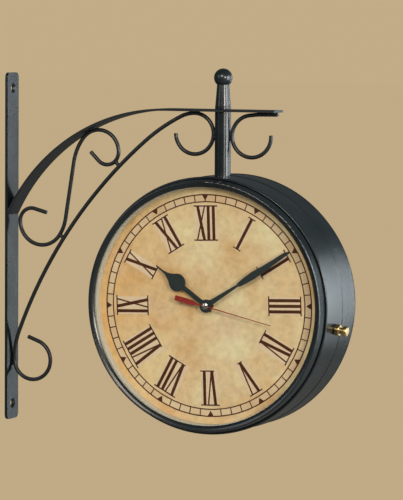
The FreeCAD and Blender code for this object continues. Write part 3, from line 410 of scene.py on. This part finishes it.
THICK = 3.2              # pen's broad and fine strokes
THIN = 1.5
STEM_GAP = 2.3           # between two upright strokes
SPREAD_GAP = 1.4         # beside a letter that spreads
SERIF = 1.3              # serif line's height, and how far it stands out at each side
SERIF_OUT = 2.6
V_LEAN = 0.5             # a V's fine stroke meets its broad one this far from its middle
GROUND_SIDE = 1.7        # pale ground's margins: beside, below and above the strokes
GROUND_FOOT = 1.5
GROUND_HEAD = 1.6
LAYER = 0.02             # strokes that cross lie this much over each other
GLYPH_WIDTH = {"I": THICK, "V": 10.2, "X": 9.9}
NUMERALS = ("XII", "I", "II", "III", "IV", "V", "VI", "VII", "VIII", "IX", "X", "XI")


def raised(art, layers):
    """Flat art nearer the eye by so many layers of ink."""
    return shift(art, 0, -LAYER * layers, 0)


def glyph_strokes(letter, left):
    """The strokes of one numeral letter as (foot, head, width), from the lowest layer up."""
    right = left + GLYPH_WIDTH[letter]
    if letter == "I":
        return [(left + THICK / 2, left + THICK / 2, THICK)]
    if letter == "V":
        middle = (left + right) / 2
        return [(middle, left + THICK / 2, THICK), (middle + V_LEAN, right - THIN / 2, THIN)]
    return [(right - THICK / 2, left + THICK / 2, THICK),
            (left + THIN / 2, right - THIN / 2, THIN)]


def letter_gaps(text):
    pairs = zip(text, text[1:])
    return [STEM_GAP if a == b == "I" else SPREAD_GAP for a, b in pairs] + [0.0]


def numeral_width(text):
    return sum(GLYPH_WIDTH[letter] for letter in text) + sum(letter_gaps(text))


def numeral(text, clock_hour):
    """A roman numeral, feet to the dial's centre, set round the dial at its hour."""
    half = numeral_width(text) / 2
    left = -half
    strokes = []
    for letter, gap in zip(text, letter_gaps(text)):
        for layer, (foot_x, head_x, pen) in enumerate(glyph_strokes(letter, left)):
            stroke = pen_stroke(foot_x, head_x, pen, NUMERAL_FOOT, NUMERAL_HEAD)
            strokes.append(raised(stroke, layer))
        left += GLYPH_WIDTH[letter] + gap
    outer = half + SERIF_OUT
    at_v = half - GLYPH_WIDTH["V"] / 2 + SERIF_OUT      # a V's foot needs a shorter serif
    foot_left = -at_v if text[0] == "V" else -outer
    foot_right = at_v if text[-1] == "V" else outer
    for level, low, high in ((NUMERAL_HEAD, -outer, outer), (NUMERAL_FOOT, foot_left, foot_right)):
        middle = (low + high) / 2
        line = pen_stroke(middle, middle, high - low, level - SERIF / 2, level + SERIF / 2)
        strokes.append(raised(line, 2))
    return turn(join(strokes), 30.0 * clock_hour)


def numeral_ground(text, clock_hour):
    """The pale ground that shows between a numeral's strokes and just round it."""
    wide = numeral_width(text) + 2 * GROUND_SIDE
    ground = pen_stroke(0, 0, wide, NUMERAL_FOOT - GROUND_FOOT, NUMERAL_HEAD + GROUND_HEAD)
    return turn(ground, 30.0 * clock_hour)


def flat_ring(radius, width):
    """A printed circle line: a circle drawn out into a flat ring."""
    inside, outside = radius - width / 2, radius + width / 2
    only()
    bpy.ops.mesh.primitive_circle_add(vertices=240, radius=inside * MM,
                                      rotation=(math.pi / 2, 0, 0))
    line = settle(bpy.context.active_object)
    bpy.ops.object.mode_set(mode="EDIT")
    bpy.ops.mesh.select_all(action="SELECT")
    bpy.ops.mesh.extrude_region_move()
    bpy.ops.transform.resize(value=(outside / inside,) * 3, center_override=(0, 0, 0))
    bpy.ops.object.mode_set(mode="OBJECT")
    return line


def minute_track():
    """Two circle lines, a stroke for each minute and a wedge for each hour."""
    lines = [flat_ring(TRACK_OUTER, OUTER_LINE), flat_ring(TRACK_INNER, INNER_LINE)]
    tick = raised(pen_stroke(0, 0, MINUTE_LINE, TRACK_INNER, TRACK_OUTER), 1)
    for minute in range(1, 60):
        if minute % 5:
            lines.append(turn(twin(tick), 6.0 * minute))
    lines.append(tick)
    only()
    bpy.ops.mesh.primitive_circle_add(vertices=3, radius=1.0, fill_type="NGON",
                                      rotation=(math.pi / 2, 0, 0))
    wedge = bpy.context.active_object
    wedge.scale = (WEDGE_HALF * MM, WEDGE_RISE * MM, 1)
    turn(settle(wedge), 180)        # point to the dial's centre
    top = max(vertex.co.z for vertex in wedge.data.vertices) / MM
    raised(shift(wedge, 0, 0, TRACK_OUTER + WEDGE_PROUD - top), 2)
    for hour in range(1, 12):
        lines.append(turn(twin(wedge), 30.0 * hour))
    lines.append(wedge)
    return join(lines)


def facing(art):
    """Turns over the faces of flat art that look into the dial."""
    only(art)
    bpy.ops.object.mode_set(mode="EDIT")
    bpy.ops.mesh.select_mode(type="FACE")
    bpy.ops.mesh.select_all(action="DESELECT")
    bpy.ops.object.mode_set(mode="OBJECT")
    for face in art.data.polygons:
        face.select = face.normal.y > 0
    bpy.ops.object.mode_set(mode="EDIT")
    bpy.ops.mesh.flip_normals()
    bpy.ops.object.mode_set(mode="OBJECT")


def onto_dial(art, lift, front=True):
    """Lays flat art over a dial's paper, so many millimetres above it."""
    turn(art, PRINT_TURN)
    facing(art)
    shift(art, REACH, -(DIAL_FRONT + lift), DRUM_Z)
    if not front:
        turn(art, 180, "Z", (REACH, 0, 0))
    return art


def print_dials():
    hours = list(enumerate(NUMERALS))
    art = (
        # name, flat art, height over the paper, ink
        ("track_band", flat_ring((TRACK_OUTER + TRACK_INNER) / 2, TRACK_OUTER - TRACK_INNER),
         0.03, WASH_INK),
        ("minute_track", minute_track(), 0.10, INK),
        ("numerals", join([numeral(text, hour) for hour, text in hours]), 0.10, INK),
        ("numeral_grounds", join([numeral_ground(text, hour) for hour, text in hours]),
         0.06, GROUND_INK),
    )
    for name, flat, lift, ink in art:
        rear = onto_dial(twin(flat), lift, front=False)
        placed(onto_dial(flat, lift), "front_" + name, "bracket", ink)
        placed(rear, "rear_" + name, "rear_door", ink)


print_dials()


# ---- welds, rivets and moulded details ----------------------------------------------------
def lump(x, y, z, radius, stretch=(1, 1, 1)):
    """One drop of weld metal or a rounded head."""
    only()
    bpy.ops.mesh.primitive_ico_sphere_add(subdivisions=3, radius=radius * MM,
                                          location=(x * MM, y * MM, z * MM))
    drop = bpy.context.active_object
    drop.scale = stretch
    return settle(drop)


def weld(start, end, radius, drops):
    """A run of weld metal between two points, its uneven drops grown into one skin."""
    run = []
    for step in range(drops):
        share = step / (drops - 1)
        place = [a + (b - a) * share for a, b in zip(start, end)]
        run.append(lump(*place, radius * (1.0, 0.88, 1.06, 0.93)[step % 4]))
    return smooth(applied(join(run), "REMESH", mode="VOXEL", voxel_size=0.4 * MM))


def weld_beads():
    runs = (
        # start, end, radius of a drop, drops
        ((119.6, 0, 88.4), (121.2, 0, 86.6), 2.2, 2),               # short scroll's top end
        ((57.9, 0, 12.4), (59.0, 0, 11.4), 2.1, 2),                 # and foot, to the long scroll
        ((86.5, 0, 119.4), (91.0, 0, 121.6), 1.5, 3),               # short scroll to the arch
        ((4.2, 0, -121.0), (4.2, 0, -111.0), 1.7, 5),               # long scroll to the wall bar
        ((3.4, -11.2, 37.8), (3.4, 11.2, 37.8), 1.6, 10),           # arch's foot to the wall bar
        ((227.6, 0, 116.5), (227.6, 0, 122.5), 1.6, 4),             # long scroll to the post
        ((244.4, 0, 115.0), (244.4, 0, 121.0), 1.6, 4),             # end scroll to the post
        ((201.5, 0, 141.6), (209.5, 0, 141.6), 1.5, 4),             # long scroll to the strip
        ((STRIP_END - 21.0, 0, 139.7), (STRIP_END - 3.6, 0, 139.9), 2.0, 16),   # end scroll to it
    )
    placed(join([weld(*run) for run in runs]), "weld_beads", "bracket", ROD_ENAMEL)


def rivets(name, body, y):
    """Two domed rivets through a hinge leaf."""
    leaf = DRUM_R + 1.3
    heads = []
    for rise in (-8.5, 8.5):
        flat = math.sqrt(leaf ** 2 - rise ** 2)
        heads.append(lump(REACH - flat, y, DRUM_Z + rise, 1.8, (0.5, 1, 1)))
    placed(smooth(join(heads)), name, body, ENAMEL)


def block(middle, size):
    """A moulded bar with softened edges."""
    only()
    bpy.ops.mesh.primitive_cube_add(size=1.0, location=Vector(middle) * MM)
    bar = bpy.context.active_object
    bar.scale = Vector(size) * MM
    return applied(settle(bar), "BEVEL", width=0.15 * MM, segments=2)


def case_details():
    """On the front movement's case: a ring round the setting knob and the cell's pole signs."""
    only()
    bpy.ops.mesh.primitive_torus_add(
        major_segments=64, minor_segments=12, major_radius=8.6 * MM, minor_radius=0.55 * MM,
        rotation=(math.pi / 2, 0, 0),
        location=((REACH + KNOB_SIDE) * MM, -CASE_BACK * MM, (DRUM_Z + KNOB_RISE) * MM))
    pieces = [smooth(settle(bpy.context.active_object))]
    long, line, thick = 4.0, 0.9, 0.55
    depth, level = -CASE_BACK + 0.075, DRUM_Z - 4.4
    minus, plus = (REACH - 21.0, depth, level), (REACH + 4.0, depth, level)
    pieces.append(block(minus, (long, thick, line)))
    pieces.append(block(plus, (long, thick, line)))
    pieces.append(block(plus, (line, thick, long)))
    return join(pieces)


weld_beads()
rivets("hinge_rivets_fixed", "bracket", -7.0)
rivets("hinge_rivets_door", "rear_door", 13.0)
front_details = case_details()
rear_details = turn(twin(front_details), 180, "Z", (REACH, 0, 0))
placed(front_details, "front_case_details", "bracket", BLACK_ABS)
placed(rear_details, "rear_case_details", "rear_door", BLACK_ABS)


# ---- camera, light and floor --------------------------------------------------------------
def camera():
    """The photo's view, fitted to its edges, circles and rod lines."""
    data = bpy.data.cameras.new("camera")
    data.sensor_width = 36.0
    data.lens = 228.2
    data.clip_end = 100.0
    made = bpy.data.objects.new("camera", data)
    bpy.context.collection.objects.link(made)
    made.location = (1.461443, -2.906288, 0.238534)
    made.rotation_euler = [math.radians(a) for a in (90 - 4.254, -0.357, 23.262)]
    bpy.context.scene.camera = made


def lamp(name, place, aim, size, watts, tint):
    data = bpy.data.lights.new(name, "AREA")
    data.shape = "RECTANGLE"
    data.size, data.size_y = size
    data.energy = watts
    data.color = colour(tint)[:3]
    made = bpy.data.objects.new(name, data)
    bpy.context.collection.objects.link(made)
    made.location = place
    made.rotation_euler = (Vector(aim) - Vector(place)).to_track_quat("-Z", "Y").to_euler()


def lights():
    drum = (REACH * MM, 0, DRUM_Z * MM)
    bracket = (REACH * MM, 0, 0.1)
    lamp("key", (2.15, -1.65, 0.42), drum, (0.5, 0.6), 29, "#fff6ea")
    lamp("back_band", (1.42, 1.9, -0.12), (1.42, 0, -0.12), (0.5, 1.5), 16, "#dfeaf0")
    lamp("side_panel", (2.5, 0.45, 0.15), bracket, (1.8, 1.5), 44, "#dfe9f0")
    lamp("window", (2.4, -0.25, 0.15), bracket, (0.45, 1.2), 20, "#eef2f4")
    lamp("left_fill", (-1.6, -2.2, 0.9), drum, (1.0, 1.4), 8, "#f4f6ff")
    lamp("front_fill", (0.6, -3.4, 1.6), drum, (1.6, 1.2), 52, "#fff5e6")


TAN = "#c2ac87"          # the photo's plain background


def surroundings():
    """Tan floor and sky as the eye sees them; the light from them is neutral."""
    world = bpy.data.worlds.new("room")
    bpy.context.scene.world = world
    world.use_nodes = True
    tree = world.node_tree
    tree.nodes.clear()
    rays = add(tree, "ShaderNodeLightPath").outputs
    seen = add(tree, "ShaderNodeMath", {"operation": "MAXIMUM"}, i0=rays["Is Camera Ray"],
               i1=rays["Is Transmission Ray"]).outputs[0]
    light = add(tree, "ShaderNodeBackground", Color="#f1f0ee", Strength=0.42).outputs[0]
    gloss = add(tree, "ShaderNodeBackground", Color="#a9b4b6", Strength=0.2).outputs[0]
    plain = add(tree, "ShaderNodeBackground", Color=TAN, Strength=1.0).outputs[0]
    unseen = add(tree, "ShaderNodeMixShader", i0=rays["Is Glossy Ray"], i1=light, i2=gloss)
    room = add(tree, "ShaderNodeMixShader", i0=seen, i1=unseen.outputs[0], i2=plain)
    add(tree, "ShaderNodeOutputWorld", Surface=room.outputs[0])

    only()
    bpy.ops.mesh.primitive_plane_add(size=80.0, location=(0, 0, -0.75))
    floor = settle(bpy.context.active_object)
    floor.name = "floor"
    made = bpy.data.materials.new("floor_paint")
    made.use_nodes = True
    tree = made.node_tree
    tree.nodes.clear()
    rays = add(tree, "ShaderNodeLightPath").outputs
    matt = add(tree, "ShaderNodeBsdfDiffuse", Color="#77756f").outputs[0]
    glow = add(tree, "ShaderNodeEmission", Color=TAN, Strength=1.045).outputs[0]
    share = add(tree, "ShaderNodeMath", {"operation": "MULTIPLY"}, i0=rays["Is Camera Ray"],
                i1=0.93).outputs[0]
    paint = add(tree, "ShaderNodeMixShader", i0=share, i1=matt, i2=glow)
    add(tree, "ShaderNodeOutputMaterial", Surface=paint.outputs[0])
    floor.data.materials.append(made)


camera()
lights()
surroundings()
bpy.context.scene.view_settings.view_transform = "Standard"
